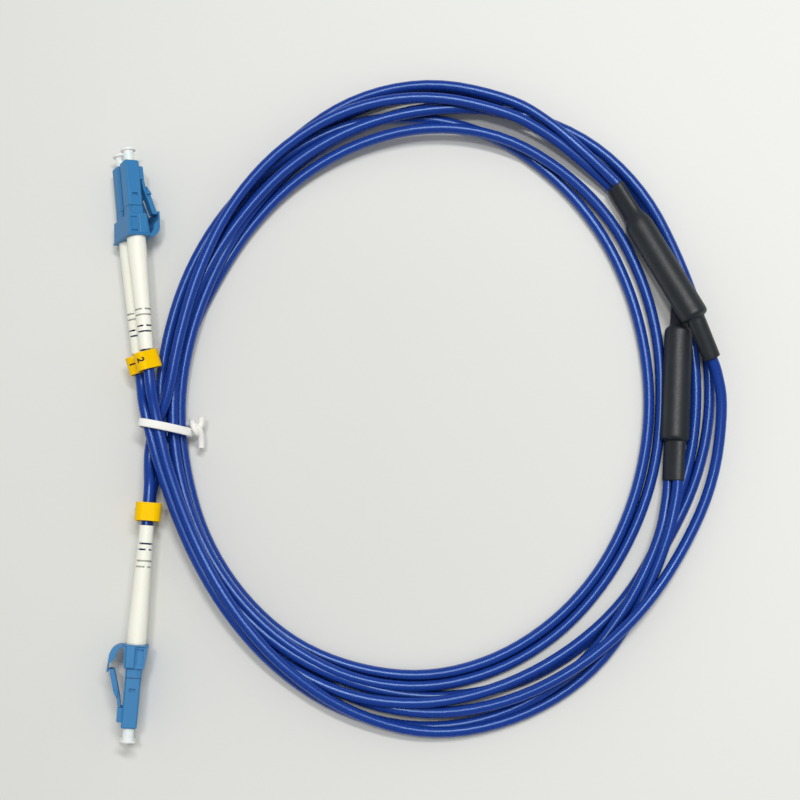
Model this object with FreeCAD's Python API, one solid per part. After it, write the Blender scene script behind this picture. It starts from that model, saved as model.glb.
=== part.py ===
import FreeCAD, Part
import math
import os

from FreeCAD import Placement, Rotation, Vector

# Duplex fibre patch cord, laid flat in a tied coil. Millimetres, +Z up, the table is z = 0.
# A trunk cord of one round jacket breaks out into two legs at each end, inside a shrunk
# sleeve, and each leg ends in a small latched plug. Two plugs make one duplex end.
# In a plug's own frame +Y is the way it is pushed in, +Z is the latch side and X is the
# way from plug to plug. Distances called back are counted from the front face towards the cord.

# Cord
CORD_DIAMETER = 3.0
CORD_CLEARANCE = 0.05

# Duplex end and plug housing
PLUG_PITCH = 6.25
PLUG_WIDTH = 4.5
HOUSING_LENGTH = 14.3
HOUSING_CHAMFER = 0.4
NOSE_CHAMFER = 0.3
NOSE_BORE = 3.3
NOSE_BORE_DEPTH = 4.0
STOP_WALL = 0.6
STOP_BORE = 1.7
CAVITY_BORE = 3.0
WINDOW_BACK = 10.3
WINDOW_LENGTH = 0.9
WINDOW_WIDTH = 1.7
WINDOW_DEPTH = 0.6

# Latch, drawn in the side view as (back, height above the plug axis)
LATCH_WIDTH = 2.6
LATCH_PAD_FRONT = 1.6
LATCH_PAD_HEIGHT = 1.45
LATCH_HINGE_BACK = 6.1
LATCH_THICKNESS = 0.78
LATCH_LUG_FRONT = 8.1
LATCH_LUG_BACK = 10.5
LATCH_LUG_WIDTH = 4.3
LATCH_TIP_BACK = 16.4
LATCH_TIP_HEIGHT = 7.05
LATCH_TIP_THICKNESS = 1.5
HINGE_GAP = 0.04

# Ferrule and its spring
FERRULE_DIAMETER = 1.25
FERRULE_PROUD = 2.0
FLANGE_DIAMETER = 2.7
FLANGE_LENGTH = 1.8
FERRULE_TAIL_DIAMETER = 1.4
FERRULE_TAIL_LENGTH = 4.0
SPRING_WIRE = 0.3
SPRING_MEAN_DIAMETER = 2.2
SPRING_TURNS = 3
SEAT_GAP = 0.02

# Rear body, crimp and boot
REAR_WIDTH = 4.6
REAR_LENGTH = 9.3
REAR_CHAMFER = 0.4
REAR_TAB = (1.9, 0.8, 0.15)
SPIGOT_LENGTH = 4.2
SPIGOT_CLEARANCE = 0.05
FIBRE_BORE = 1.6
POST_DIAMETER = 3.2
POST_LENGTH = 6.0
CRIMP_WALL = 0.4
CRIMP_CLEARANCE = 0.03
BOOT_LENGTH = 34.4
BOOT_BASE_DIAMETER = 5.6
BOOT_END_DIAMETER = 4.1
BOOT_COLLAR = 5.0
BOOT_RELIEF_LENGTH = 7.0
SLIT_WIDTH = 0.5
SLIT_BRIDGE = 0.9
SLIT_TURN_DEG = 19.0
SLIT_FROM_END = (5.3, 7.0, 10.3, 12.0)
SLIT_DEPTH = (1.0, 1.0, 0.35, 0.35)

# Duplex clip and its trigger
CLIP_LENGTH = 6.7
CLIP_WALL = 0.6
CLIP_FRONT_HALF = 2.85
CLIP_REAR_HALF = 3.4
CLIP_CLEARANCE = 0.05
CLIP_BLOCK = 0.5
CLIP_BLOCK_HEIGHT = 2.9
CLIP_RECESS_DEPTH = 0.3
CLIP_LIP = 0.25
CLIP_LIP_LENGTH = 0.45
CLIP_SLOT_FROM_REAR = 1.2
CLIP_SLOT_LENGTH = 0.5
TRIGGER_WIDTH = 9.0
TRIGGER_ROOT_RADIUS = 0.45
TRIGGER_TIP_BACK = 15.5
TRIGGER_TIP_THICKNESS = 0.55
TRIGGER_CLEARANCE = 0.15

# Dust cap
CAP_NECK_DIAMETER = 3.1
CAP_FLANGE_DIAMETER = 4.5
CAP_FLANGE_THICKNESS = 0.7
CAP_PROUD = 4.1
CAP_INSERTED = 3.0
CAP_BORE_CLEARANCE = 0.03
CAP_END_WALL = 1.6

# Marker ring, a flattened tube that is loose on its leg
MARKER_LENGTH = 5.3
MARKER_WIDTH = 7.5
MARKER_WALL = 0.5
MARKER_LOOSE = 0.35
MARKER_A_OFFSET = 0.45
MARKER_A_SKEW_DEG = -12.0
MARKER_B_OFFSET = 1.4

# Breakout: a rigid tube under a shrunk sleeve, with a two-leg neck and a trunk neck
SLEEVE_WALL = 0.8
BREAKOUT_TUBE_DIAMETER = 6.8
BREAKOUT_TUBE_WALL = 0.7
NECK_WALL = 0.9
NECK_OVERLAP = 3.0
STUB_INSIDE = 2.0
POCKET_GAP = 0.3

# Tied coil
COIL_HEIGHT = 7.0
COIL_EDGE = 2.8
COIL_OUTER_CENTRE = Vector(8.0, 13.65, 0)
COIL_OUTER_HALF = (85.0, 98.65)
COIL_INNER_CENTRE = Vector(0.8, 14.65, 0)
COIL_INNER_HALF = (68.3, 81.05)

# Twist tie round the bundle
TIE_WIDTH = 2.4
TIE_THICKNESS = 1.0
TIE_CENTRE = Vector(-73.7, 4.9, 0)
TIE_INSIDE = (14.6, 10.8)
TIE_HEADING_DEG = -14.0
TIE_CORNER = 2.5
TIE_TAIL_DIAMETER = 1.7

# Where the two duplex ends lie: the middle between the two front faces
END_A_FRONT = Vector(-87.2, 84.4, 0)
END_A_HEADING_DEG = 6.7
END_A_ROLL_DEG = 122.0
END_A_NOSE_DOWN_DEG = 1.0
END_B_FRONT = Vector(-82.2, -82.5, 0)
END_B_HEADING_DEG = 176.15
END_B_ROLL_DEG = 80.0
END_B_NOSE_DOWN_DEG = 0.0

# Where the two breakouts lie: both ends of the rigid tube, and the mouths of the two necks.
# The lower one rests on the table, and the upper one leans on it and on the coil.
CORD_RADIUS = CORD_DIAMETER / 2
NECK_RADIUS = CORD_RADIUS + NECK_WALL
BREAKOUT_RADIUS = BREAKOUT_TUBE_DIAMETER / 2 + SLEEVE_WALL
BREAKOUT_A = {
    "leg_end": Vector(66.8, 69.5, BREAKOUT_RADIUS + 1.2),
    "trunk_end": Vector(83.8, 36.6, 2 * BREAKOUT_RADIUS + NECK_RADIUS + 0.5),
    "leg_mouth": Vector(62.0, 78.8, NECK_RADIUS + CORD_RADIUS + 0.7),
    "trunk_mouth": Vector(88.8, 25.0, COIL_HEIGHT + 1.6),
    "legs_turned_deg": 60.0,
}
BREAKOUT_B = {
    "leg_end": Vector(78.0, 0.7, BREAKOUT_RADIUS + 0.05),
    "trunk_end": Vector(80.1, 35.2, BREAKOUT_RADIUS + 0.05),
    "leg_mouth": Vector(77.2, -11.2, BREAKOUT_RADIUS + 0.05),
    "trunk_mouth": Vector(81.0, 47.1, NECK_RADIUS + 0.5),
    "legs_turned_deg": 45.0,
}

# Free stretch of each leg after its marker ring, chosen by hand, down into the coil
LEG_A1_ROUTE = [Vector(-75.1, -2.1, 9.0), Vector(-70.8, -17.2, 6.8)]
LEG_A2_ROUTE = [Vector(-71.7, -1.6, 9.0), Vector(-67.4, -17.2, 6.2)]
LEG_B1_ROUTE = [Vector(-74.3, -1.9, 2.8), Vector(-71.4, 12.0, 2.8)]
LEG_B2_ROUTE = [Vector(-77.7, -2.0, 4.4), Vector(-75.2, 11.8, 4.2)]
STUB_BEYOND_MOUTH = 8.0

PLUG_HALF = PLUG_WIDTH / 2
REAR_HALF = REAR_WIDTH / 2
REAR_END_BACK = HOUSING_LENGTH + REAR_LENGTH
BOOT_END_BACK = REAR_END_BACK + BOOT_LENGTH
LEG_START_BACK = REAR_END_BACK + POST_LENGTH
LEG_STRAIGHT_BACK = BOOT_END_BACK + MARKER_B_OFFSET + MARKER_LENGTH + 3.0
FLANGE_BACK = NOSE_BORE_DEPTH + STOP_WALL
SPIGOT_BACK = HOUSING_LENGTH - SPIGOT_LENGTH
CLIP_FRONT_BACK = REAR_END_BACK - CLIP_LENGTH


def block(x0, x1, back0, back1, z0, z1):
    """A box between two distances back from the front face."""
    return Part.makeBox(x1 - x0, back1 - back0, z1 - z0, Vector(x0, -back1, z0))


def rod(diameter, back0, back1, x=0.0):
    """A round bar along the plug's axis."""
    return Part.makeCylinder(diameter / 2, back1 - back0, Vector(x, -back0, 0), Vector(0, -1, 0))


def side_profile(edges, width):
    """Extrude a closed side-view outline, given as edges at x = 0, across the plug."""
    face = Part.Face(Part.Wire(edges))
    face.translate(Vector(-width / 2, 0, 0))
    return face.extrude(Vector(width, 0, 0))


def side(back, height):
    """A point of a side view."""
    return Vector(0, -back, height)


def line(a, b):
    return Part.LineSegment(a, b).toShape()


def arc(a, through, b):
    return Part.Arc(a, through, b).toShape()


def chain(points):
    """Straight edges from point to point."""
    return [line(a, b) for a, b in zip(points, points[1:])]


def edges_along_y(shape):
    found = []
    for edge in shape.Edges:
        a, b = edge.Vertexes[0].Point, edge.Vertexes[-1].Point
        if abs(a.x - b.x) < 1e-6 and abs(a.z - b.z) < 1e-6 and abs(a.y - b.y) > 1:
            found.append(edge)
    return found


def chamfered_bar(width, back0, back1, chamfer):
    """A square bar along the plug's axis with its four long edges broken."""
    bar = block(-width / 2, width / 2, back0, back1, -width / 2, width / 2)
    return bar.makeChamfer(chamfer, edges_along_y(bar))


def plug_housing():
    """Square front shell with the bore for the mating sleeve and the pad that the latch springs from."""
    shell = chamfered_bar(PLUG_WIDTH, 0, HOUSING_LENGTH, HOUSING_CHAMFER)
    nose = [e for e in shell.Edges if all(abs(v.Point.y) < 1e-6 for v in e.Vertexes)]
    shell = shell.makeChamfer(NOSE_CHAMFER, nose)
    pad_back = LATCH_HINGE_BACK - LATCH_THICKNESS / 2 - HINGE_GAP
    pad = block(-LATCH_WIDTH / 2, LATCH_WIDTH / 2, LATCH_PAD_FRONT, pad_back,
                PLUG_HALF - HOUSING_CHAMFER, PLUG_HALF + LATCH_PAD_HEIGHT)
    front_edge = [e for e in pad.Edges
                  if all(abs(v.Point.y + LATCH_PAD_FRONT) < 1e-6
                         and v.Point.z > PLUG_HALF for v in e.Vertexes)]
    pad = pad.makeFillet(LATCH_PAD_HEIGHT / 3, front_edge)
    shell = shell.fuse(pad)
    shell = shell.cut(rod(NOSE_BORE, 0, NOSE_BORE_DEPTH))
    shell = shell.cut(rod(STOP_BORE, NOSE_BORE_DEPTH, FLANGE_BACK))
    shell = shell.cut(rod(CAVITY_BORE, FLANGE_BACK, HOUSING_LENGTH))
    for sign in (-1, 1):
        outer = sign * PLUG_HALF
        inner = sign * (PLUG_HALF - WINDOW_DEPTH)
        shell = shell.cut(block(min(outer, inner), max(outer, inner), WINDOW_BACK,
                                WINDOW_BACK + WINDOW_LENGTH, -WINDOW_WIDTH / 2, WINDOW_WIDTH / 2))
    return shell.removeSplitter()


def latch_hinge_height():
    return PLUG_HALF + LATCH_PAD_HEIGHT - LATCH_THICKNESS / 2


def latch():
    """Springy arm with a lug on each side, rounded at its root about the hinge line."""
    height = latch_hinge_height()
    half = LATCH_THICKNESS / 2
    root_top = side(LATCH_HINGE_BACK, height + half)
    root_low = side(LATCH_HINGE_BACK, height - half)
    root_nose = side(LATCH_HINGE_BACK - half, height)
    tip_top = side(LATCH_TIP_BACK, LATCH_TIP_HEIGHT)
    tip_low = side(LATCH_TIP_BACK, LATCH_TIP_HEIGHT - LATCH_TIP_THICKNESS)
    rise = LATCH_TIP_HEIGHT - height
    lug_front = side(LATCH_LUG_FRONT, height + half + 0.08 * rise)
    lug_top = side(LATCH_LUG_BACK - 0.5, height + half + 0.40 * rise)
    under = side(LATCH_LUG_FRONT + 0.6, height - half + 0.10 * rise)
    outline = [arc(root_low, root_nose, root_top)]
    outline += chain([root_top, lug_front, lug_top, tip_top, tip_low, under, root_low])
    arm = side_profile(outline, LATCH_WIDTH)
    lug_back_top = side(LATCH_LUG_BACK, height + half + 0.44 * rise)
    lug_back_low = side(LATCH_LUG_BACK, height + half + 0.10 * rise)
    lugs = side_profile(chain([lug_front, lug_top, lug_back_top, lug_back_low, lug_front]),
                        LATCH_LUG_WIDTH)
    return arm.fuse(lugs).removeSplitter()


def ferrule():
    """Ceramic ferrule in its flanged holder."""
    flange_front = FLANGE_BACK + SEAT_GAP
    flange_end = flange_front + FLANGE_LENGTH
    body = rod(FERRULE_DIAMETER, -FERRULE_PROUD, flange_end)
    tip = [e for e in body.Edges if abs(e.BoundBox.YMax - FERRULE_PROUD) < 1e-6
           and e.BoundBox.YLength < 1e-6]
    body = body.makeChamfer(FERRULE_DIAMETER / 6, tip)
    body = body.fuse(rod(FLANGE_DIAMETER, flange_front, flange_end))
    return body.fuse(rod(FERRULE_TAIL_DIAMETER, flange_end, flange_end + FERRULE_TAIL_LENGTH))


def spring():
    """Coil spring between the ferrule's flange and the rear body."""
    start = FLANGE_BACK + SEAT_GAP + FLANGE_LENGTH + SPRING_WIRE / 2 + SEAT_GAP
    length = SPIGOT_BACK - SEAT_GAP - SPRING_WIRE / 2 - start
    radius = SPRING_MEAN_DIAMETER / 2
    helix = Part.makeHelix(length / SPRING_TURNS, length, radius)
    half = SPRING_WIRE / 2
    corners = [Vector(radius + dx * half, 0, dz * half)
               for dx, dz in ((-1, -1), (1, -1), (1, 1), (-1, 1), (-1, -1))]
    wire = Part.Wire(helix.Edges).makePipeShell([Part.makePolygon(corners)], True, True)
    wire.rotate(Vector(), Vector(1, 0, 0), 90)
    wire.translate(Vector(0, -start, 0))
    return wire


def rear_body():
    """Back half of the plug: spigot in the housing, square shoulder and crimp post."""
    body = chamfered_bar(REAR_WIDTH, HOUSING_LENGTH, REAR_END_BACK, REAR_CHAMFER)
    length, height, depth = REAR_TAB
    low = -REAR_HALF + REAR_CHAMFER
    for x in (-REAR_HALF, REAR_HALF - depth):
        body = body.cut(block(x, x + depth, HOUSING_LENGTH + 0.3, HOUSING_LENGTH + 0.3 + length,
                              low, low + height))
    body = body.fuse(rod(CAVITY_BORE - 2 * SPIGOT_CLEARANCE, SPIGOT_BACK, HOUSING_LENGTH))
    body = body.fuse(rod(POST_DIAMETER, REAR_END_BACK, REAR_END_BACK + POST_LENGTH))
    return body.cut(rod(FIBRE_BORE, SPIGOT_BACK, REAR_END_BACK + POST_LENGTH))


def crimp_diameter():
    return POST_DIAMETER + 2 * (CRIMP_WALL + CRIMP_CLEARANCE)


def crimp_ring():
    """Metal ring that grips the yarn on the post."""
    ring = rod(crimp_diameter(), REAR_END_BACK, REAR_END_BACK + POST_LENGTH)
    return ring.cut(rod(POST_DIAMETER + 2 * CRIMP_CLEARANCE, REAR_END_BACK,
                        REAR_END_BACK + POST_LENGTH))


def boot_radius(from_end):
    """Outer radius of the tapered boot, at a distance from its thin end."""
    taper = min(from_end / (BOOT_LENGTH - BOOT_COLLAR), 1.0)
    return (BOOT_END_DIAMETER + taper * (BOOT_BASE_DIAMETER - BOOT_END_DIAMETER)) / 2


def boot():
    """Tapered strain relief with staggered bending slits near its thin end."""
    relief = crimp_diameter() / 2 + CRIMP_CLEARANCE
    bore = CORD_RADIUS + CORD_CLEARANCE
    start, end = REAR_END_BACK, BOOT_END_BACK
    outline = [Vector(relief, -start, 0), Vector(BOOT_BASE_DIAMETER / 2, -start, 0),
               Vector(BOOT_BASE_DIAMETER / 2, -start - BOOT_COLLAR, 0),
               Vector(BOOT_END_DIAMETER / 2, -end, 0), Vector(bore, -end, 0),
               Vector(bore, -start - BOOT_RELIEF_LENGTH, 0),
               Vector(relief, -start - BOOT_RELIEF_LENGTH, 0), Vector(relief, -start, 0)]
    shell = Part.Face(Part.makePolygon(outline)).revolve(Vector(), Vector(0, 1, 0), 360)
    for row, (from_end, depth) in enumerate(zip(SLIT_FROM_END, SLIT_DEPTH)):
        outer = 2 * boot_radius(from_end)
        back = end - from_end
        core = rod(2 * (boot_radius(from_end) - depth), back - 1, back + 1)
        for side_z in (-1, 1):
            near, far = side_z * SLIT_BRIDGE / 2, side_z * outer
            slit = block(-outer, outer, back - SLIT_WIDTH / 2, back + SLIT_WIDTH / 2,
                         min(near, far), max(near, far)).cut(core)
            slit.rotate(Vector(), Vector(0, 1, 0), 90 * (row + 1) - SLIT_TURN_DEG)
            shell = shell.cut(slit)
    return shell


def duplex_clip():
    """Rear clip that holds two plugs side by side."""
    outer_x = PLUG_PITCH / 2 + REAR_HALF + CLIP_WALL
    corners = [side(CLIP_FRONT_BACK, -CLIP_FRONT_HALF), side(REAR_END_BACK, -CLIP_REAR_HALF),
               side(REAR_END_BACK, CLIP_REAR_HALF), side(CLIP_FRONT_BACK, CLIP_FRONT_HALF)]
    shell = side_profile(chain(corners + corners[:1]), 2 * outer_x)
    shell = shell.fuse(block(-outer_x - CLIP_LIP, outer_x + CLIP_LIP, REAR_END_BACK - CLIP_LIP_LENGTH,
                             REAR_END_BACK, -CLIP_REAR_HALF - CLIP_LIP, CLIP_REAR_HALF))
    for sign in (-1, 1):
        hole = chamfered_bar(REAR_WIDTH + 2 * CLIP_CLEARANCE, CLIP_FRONT_BACK, REAR_END_BACK,
                             REAR_CHAMFER)
        hole.translate(Vector(sign * PLUG_PITCH / 2, 0, 0))
        shell = shell.cut(hole)
        wall = sign * outer_x
        inner = sign * (outer_x - CLIP_RECESS_DEPTH)
        recess = block(min(wall, inner), max(wall, inner), CLIP_FRONT_BACK + 1.0,
                       REAR_END_BACK - 0.5, -CLIP_FRONT_HALF + 0.5, -0.4)
        shell = shell.cut(recess)
        slot_back = REAR_END_BACK - CLIP_SLOT_FROM_REAR
        deep = sign * (PLUG_PITCH / 2 + REAR_HALF)
        shell = shell.cut(block(min(wall, deep), max(wall, deep), slot_back - CLIP_SLOT_LENGTH,
                                slot_back, -CLIP_FRONT_HALF + 0.5, -0.4))
        proud = sign * (outer_x + CLIP_BLOCK)
        raised = block(min(wall, proud), max(wall, proud), CLIP_FRONT_BACK, REAR_END_BACK - 0.4,
                       CLIP_FRONT_HALF - CLIP_BLOCK_HEIGHT, CLIP_FRONT_HALF - 0.1)
        face_edges = [e for e in raised.Edges
                      if all(abs(v.Point.x - proud) < 1e-6 for v in e.Vertexes)]
        shell = shell.fuse(raised.makeFillet(CLIP_BLOCK * 0.8, face_edges))
    return shell.removeSplitter()


def trigger_hinge():
    """Back distance and height of the trigger's hinge line, on the clip's top rear edge."""
    back = REAR_END_BACK - TRIGGER_ROOT_RADIUS
    return back, CLIP_REAR_HALF + TRIGGER_ROOT_RADIUS + HINGE_GAP


def trigger():
    """Curved thumb lever from the clip's rear edge, forward over the latch tips."""
    back, height = trigger_hinge()
    r = TRIGGER_ROOT_RADIUS
    tip_low = LATCH_TIP_HEIGHT + TRIGGER_CLEARANCE
    tip_top = tip_low + TRIGGER_TIP_THICKNESS
    crown = side(back - 3.0, tip_top - 0.35)
    heel_out = side(back + r, height)
    heel_in = side(back - r, height)
    outline = [arc(heel_in, side(back, height - r), heel_out),
               arc(heel_out, side(back - 0.35, tip_top - 1.75), crown)]
    hook = LATCH_TIP_BACK + 1.4
    inner = [crown, side(TRIGGER_TIP_BACK, tip_top), side(TRIGGER_TIP_BACK, tip_low),
             side(hook, tip_low), side(hook + 1.4, tip_low - 1.3), side(back - 3.2, tip_low - 1.75)]
    outline += chain(inner)
    outline.append(arc(inner[-1], side(back - 1.45, tip_low - 2.25), heel_in))
    return side_profile(outline, TRIGGER_WIDTH)


def dust_cap():
    """Push-on cap with a pull flange, on the ferrule and in the nose bore."""
    cap = rod(CAP_NECK_DIAMETER, -CAP_PROUD, CAP_INSERTED)
    cap = cap.fuse(rod(CAP_FLANGE_DIAMETER, -CAP_PROUD, -CAP_PROUD + CAP_FLANGE_THICKNESS))
    bore = FERRULE_DIAMETER + 2 * CAP_BORE_CLEARANCE
    cap = cap.cut(rod(bore, -CAP_PROUD + CAP_END_WALL, CAP_INSERTED))
    rim = [e for e in cap.Edges if abs(e.BoundBox.YMax - CAP_PROUD) < 1e-6
           and e.BoundBox.YLength < 1e-6]
    return cap.makeChamfer(CAP_FLANGE_THICKNESS / 3, rim)


def stadium(width, height):
    """A flat oval face in the X-Z plane, its long side along Z."""
    r = height / 2
    run = (width - height) / 2
    edges = [arc(Vector(-r, 0, run), Vector(0, 0, run + r), Vector(r, 0, run)),
             line(Vector(r, 0, run), Vector(r, 0, -run)),
             arc(Vector(r, 0, -run), Vector(0, 0, -run - r), Vector(-r, 0, -run)),
             line(Vector(-r, 0, -run), Vector(-r, 0, run))]
    return Part.Face(Part.Wire(edges))


def marker_ring(offset, skew):
    """Flattened number sleeve, loose on its leg, where it may sit a little skew."""
    inside = CORD_DIAMETER + 2 * MARKER_LOOSE
    outer = stadium(MARKER_WIDTH, inside + 2 * MARKER_WALL)
    hole = stadium(MARKER_WIDTH - 2 * MARKER_WALL, inside)
    ring = outer.cut(hole).extrude(Vector(0, -MARKER_LENGTH, 0))
    ring.rotate(Vector(0, -MARKER_LENGTH / 2, 0), Vector(1, 0, 0), skew)
    ring.translate(Vector(0, -BOOT_END_BACK - offset, 0))
    return ring


def rounded_path(points, name):
    """Straight runs joined by tangent arcs, each as large as its two runs allow."""
    edges = []
    start = points[0]
    for before, corner, after in zip(points, points[1:], points[2:]):
        to_back = (before - corner).normalize()
        to_next = (after - corner).normalize()
        turn = math.pi - to_back.getAngle(to_next)
        set_back = 0.45 * min((before - corner).Length, (after - corner).Length)
        radius = set_back / math.tan(turn / 2)
        print(f"{name}: arc radius {radius:.1f}, turn {math.degrees(turn):.1f} degrees")
        enter = corner + to_back * set_back
        leave = corner + to_next * set_back
        bisector = (to_back + to_next).normalize()
        centre_distance = radius / math.cos(turn / 2)
        middle = corner + bisector * (centre_distance - radius)
        edges += [line(start, enter), arc(enter, middle, leave)]
        start = leave
    edges.append(line(start, points[-1]))
    return Part.Wire(edges)


def cord(points, name):
    """Round cord along a route, with its volume compared with section times length."""
    path = rounded_path(points, name)
    direction = (points[1] - points[0]).normalize()
    section = Part.Wire(Part.makeCircle(CORD_RADIUS, points[0], direction))
    solid = path.makePipeShell([section], True, False)
    ideal = math.pi * CORD_RADIUS ** 2 * path.Length
    print(f"{name}: length {path.Length:.1f}, volume ratio {solid.Volume / ideal:.4f}")
    return solid


def end_placement(front, heading, roll, nose_down):
    """Turn a duplex end from its own frame to the way it lies."""
    turn = (Rotation(Vector(0, 0, 1), heading) * Rotation(Vector(1, 0, 0), -nose_down)
            * Rotation(Vector(0, 1, 0), roll))
    return Placement(front, turn)


def along(start, end, radius, extend=0.0):
    """A round bar from one point to another, lengthened at its far end."""
    run = end - start
    return Part.makeCylinder(radius, run.Length + extend, start, run)


def leg_offsets(breakout):
    """Sideways shifts of the two legs in their neck: they lie one partly over the other."""
    run = (breakout["leg_mouth"] - breakout["leg_end"]).normalize()
    level = run.cross(Vector(0, 0, 1)).normalize()
    turned = Rotation(run, breakout["legs_turned_deg"]).multVec(level)
    return [turned * (sign * CORD_RADIUS) for sign in (-1, 1)]


def leg_neck(breakout, radius, start_back):
    """Flat oval bar round the two legs, from inside the sleeve to the mouth."""
    mouth = breakout["leg_mouth"]
    run = (mouth - breakout["leg_end"]).normalize()
    start = breakout["leg_end"] - run * start_back
    first, second = leg_offsets(breakout)
    bar = along(start + first, mouth + first, radius)
    bar = bar.fuse(along(start + second, mouth + second, radius))
    across = (second - first).normalize()
    up = run.cross(across)
    corners = [start + across * (s * CORD_RADIUS) + up * (t * radius)
               for s, t in ((-1, -1), (1, -1), (1, 1), (-1, 1), (-1, -1))]
    middle = Part.Face(Part.makePolygon(corners)).extrude(mouth - start)
    return bar.fuse(middle).removeSplitter()


def breakout_body(breakout, radius):
    """Round middle of a sleeve, with ball ends so that the necks may bend away from it."""
    a, b = breakout["leg_end"], breakout["trunk_end"]
    run = (b - a).normalize()
    ends = [a + run * NECK_OVERLAP, b - run * NECK_OVERLAP]
    shape = along(ends[0], ends[1], radius)
    for point in ends:
        shape = shape.fuse(Part.makeSphere(radius, point))
    return shape


def sleeve_outside(breakout, grow):
    """Outer form of a shrunk sleeve, grown by a clearance where it is used as a pocket."""
    shape = breakout_body(breakout, BREAKOUT_RADIUS + grow)
    neck = NECK_RADIUS + grow
    shape = shape.fuse(leg_neck(breakout, neck, NECK_OVERLAP))
    run = (breakout["trunk_mouth"] - breakout["trunk_end"]).normalize()
    start = breakout["trunk_end"] - run * NECK_OVERLAP
    return shape.fuse(along(start, breakout["trunk_mouth"], neck))


def tube_ends(breakout):
    """Both ends of the rigid tube, clear of the sleeve's rounded shoulders."""
    a, b = breakout["leg_end"], breakout["trunk_end"]
    run = (b - a).normalize()
    return a + run * NECK_OVERLAP, b - run * NECK_OVERLAP


def leg_lines(breakout):
    """Middle lines of the two legs, from just outside the rigid tube to the mouth."""
    run = (breakout["leg_mouth"] - breakout["leg_end"]).normalize()
    start = breakout["leg_end"] - run * STUB_INSIDE
    return [(start + offset, breakout["leg_mouth"] + offset) for offset in leg_offsets(breakout)]


def trunk_line(breakout):
    """Middle line of the trunk, from just outside the rigid tube to the mouth."""
    run = (breakout["trunk_mouth"] - breakout["trunk_end"]).normalize()
    return breakout["trunk_end"] - run * STUB_INSIDE, breakout["trunk_mouth"]


def cord_end(ends):
    """Straight cord end in a neck, carried on a little past the mouth."""
    return along(ends[0], ends[1], CORD_RADIUS, STUB_BEYOND_MOUTH)


def shrink_sleeve(breakout):
    """Shrunk sleeve: open at both mouths, tight on the tube and the cords."""
    shape = sleeve_outside(breakout, 0)
    a, b = tube_ends(breakout)
    shape = shape.cut(along(a, b, BREAKOUT_TUBE_DIAMETER / 2 + CORD_CLEARANCE))
    bore = CORD_RADIUS + CORD_CLEARANCE
    for start, end in leg_lines(breakout) + [trunk_line(breakout)]:
        shape = shape.cut(along(start, end, bore, 1.0))
    return shape.removeSplitter()


def breakout_tube(breakout):
    """Rigid tube inside a sleeve, where the jackets end and the fibres pass across."""
    a, b = tube_ends(breakout)
    outer = along(a, b, BREAKOUT_TUBE_DIAMETER / 2)
    return outer.cut(along(a, b, BREAKOUT_TUBE_DIAMETER / 2 - BREAKOUT_TUBE_WALL))


def oval(centre, half_x, half_y):
    """A closed outline of four tangent arcs, longer along Y."""
    c = math.cos(math.pi / 4)
    spread = (half_y - half_x) / (2 * c - 1)
    end_r = half_x - spread * (1 - c)
    side_r = end_r + spread
    top = centre + Vector(0, half_y - end_r, 0)
    joins = [top + Vector(c, c, 0) * end_r, top + Vector(-c, c, 0) * end_r]
    low = centre - Vector(0, half_y - end_r, 0)
    joins += [low + Vector(-c, -c, 0) * end_r, low + Vector(c, -c, 0) * end_r]
    middles = [centre + Vector(0, half_y, 0), centre + Vector(-half_x, 0, 0),
               centre + Vector(0, -half_y, 0), centre + Vector(half_x, 0, 0)]
    edges = [arc(joins[i], middles[i], joins[(i + 1) % 4]) for i in range(4)]
    print(f"coil outline radii {end_r:.1f} and {side_r:.1f}")
    return Part.Wire(edges)


def tie_loop(grow):
    """Band of the tie, round the bundle in an upright plane."""
    width, height = TIE_INSIDE
    t = TIE_THICKNESS
    outer = Part.makeBox(width + 2 * t + 2 * grow, TIE_WIDTH + 2 * grow, height + 2 * t + grow,
                         Vector(-width / 2 - t - grow, -TIE_WIDTH / 2 - grow, 0))
    outer = outer.makeFillet(TIE_CORNER, edges_along_y(outer))
    inner = Part.makeBox(width - 2 * grow, TIE_WIDTH + 4 * grow, height - 2 * grow,
                         Vector(-width / 2 + grow, -TIE_WIDTH / 2 - 2 * grow, t + grow))
    inner = inner.makeFillet(TIE_CORNER - t, edges_along_y(inner))
    loop = outer.cut(inner)
    loop.Placement = Placement(TIE_CENTRE, Rotation(Vector(0, 0, 1), TIE_HEADING_DEG))
    return loop


def twist_tie():
    """Flat tie with its two tails twisted together beside the bundle."""
    r = TIE_TAIL_DIAMETER / 2
    place = Placement(TIE_CENTRE, Rotation(Vector(0, 0, 1), TIE_HEADING_DEG))
    middle = TIE_THICKNESS + TIE_INSIDE[1] * 0.35
    root = place.multVec(Vector(TIE_INSIDE[0] / 2 + TIE_THICKNESS / 2, 0, middle))
    knot = root + Vector(3.0, 1.2, 0)
    twist = along(root, knot, TIE_TAIL_DIAMETER * 0.65)
    up_tail = along(knot, knot + Vector(1.4, 4.2, 0.9), r)
    down_tail = along(knot, knot + Vector(0.5, -5.0, -1.0), r)
    shape = tie_loop(0).fuse(twist)
    for piece in (Part.makeSphere(TIE_TAIL_DIAMETER * 0.65, knot), up_tail, down_tail):
        shape = shape.fuse(piece)
    return shape.removeSplitter()


def coil():
    """Closed outer form of the tied coil, with pockets for what lies in it."""
    outer = oval(COIL_OUTER_CENTRE, *COIL_OUTER_HALF)
    inner = oval(COIL_INNER_CENTRE, *COIL_INNER_HALF)
    ring = Part.Face(outer).cut(Part.Face(inner)).extrude(Vector(0, 0, COIL_HEIGHT))
    rims = [e for e in ring.Edges if e.BoundBox.ZLength < 1e-6]
    ring = ring.makeChamfer(COIL_EDGE, rims)
    for breakout in (BREAKOUT_A, BREAKOUT_B):
        ring = ring.cut(sleeve_outside(breakout, POCKET_GAP))
    return ring.cut(tie_loop(POCKET_GAP))


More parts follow.
